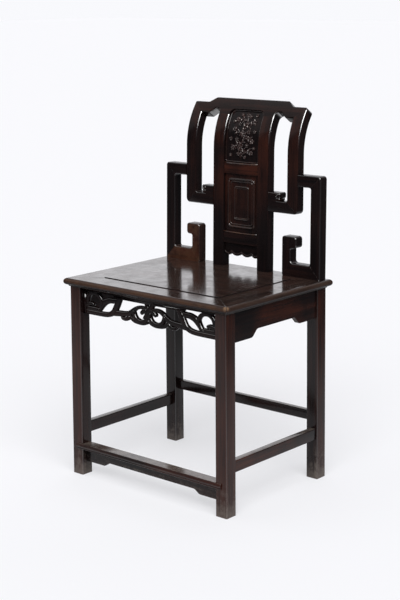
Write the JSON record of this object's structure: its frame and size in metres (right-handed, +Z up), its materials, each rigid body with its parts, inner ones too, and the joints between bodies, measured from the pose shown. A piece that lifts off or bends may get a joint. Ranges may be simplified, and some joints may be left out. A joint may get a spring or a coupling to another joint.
{
  "type": "carved side chair",
  "caption": "Dark hardwood side chair with square legs, framed panel seat, pierced scroll apron, foot rail, stretchers and an open fret back that bends round a carved splat.",
  "frame": {"origin": "on the floor, under the middle of the chair's overall box", "axes": "+Z up, -Y towards the front of the chair, +X to the right of someone facing its front"},
  "size_m": [0.528, 0.4448, 0.9286],
  "materials": {
    "frame_wood": "near-black polished hardwood, red-brown where rubbed",
    "seat_wood": "polished dark hardwood, brown and worn along the edge",
    "carved_wood": "dark carved hardwood with rubbed high spots",
    "batten_wood": "plain unpolished dark hardwood"
  },
  "bodies": {
    "root": {"back_arm_left": "frame_wood", "back_arm_right": "frame_wood", "back_post_left": "frame_wood", "back_post_right": "frame_wood", "back_upright_left": "frame_wood", "back_upright_right": "frame_wood", "base_hook_left": "frame_wood", "base_hook_right": "frame_wood", "base_rail_left": "frame_wood", "base_rail_right": "frame_wood", "crest_rail": "frame_wood", "foot_rail": "frame_wood", "foot_rail_apron": "frame_wood", "front_apron": "carved_wood", "leg_front_left": "frame_wood", "leg_front_right": "frame_wood", "leg_rear_left": "frame_wood", "leg_rear_right": "frame_wood", "rear_apron": "frame_wood", "rear_stretcher": "frame_wood", "seat_batten_left": "batten_wood", "seat_batten_right": "batten_wood", "seat_panel": "seat_wood", "seat_rail_front": "seat_wood", "seat_rail_left": "seat_wood", "seat_rail_rear": "seat_wood", "seat_rail_right": "seat_wood", "side_apron_left": "frame_wood", "side_apron_right": "frame_wood", "side_stretcher_left": "frame_wood", "side_stretcher_right": "frame_wood", "splat_apron": "carved_wood", "splat_carved_panel": "carved_wood", "splat_low_rail": "frame_wood", "splat_lower_panel": "carved_wood", "splat_mid_rail": "frame_wood", "splat_stile_left": "frame_wood", "splat_stile_right": "frame_wood", "upright_foot_left": "frame_wood", "upright_foot_right": "frame_wood"}
  },
  "joints": []
}
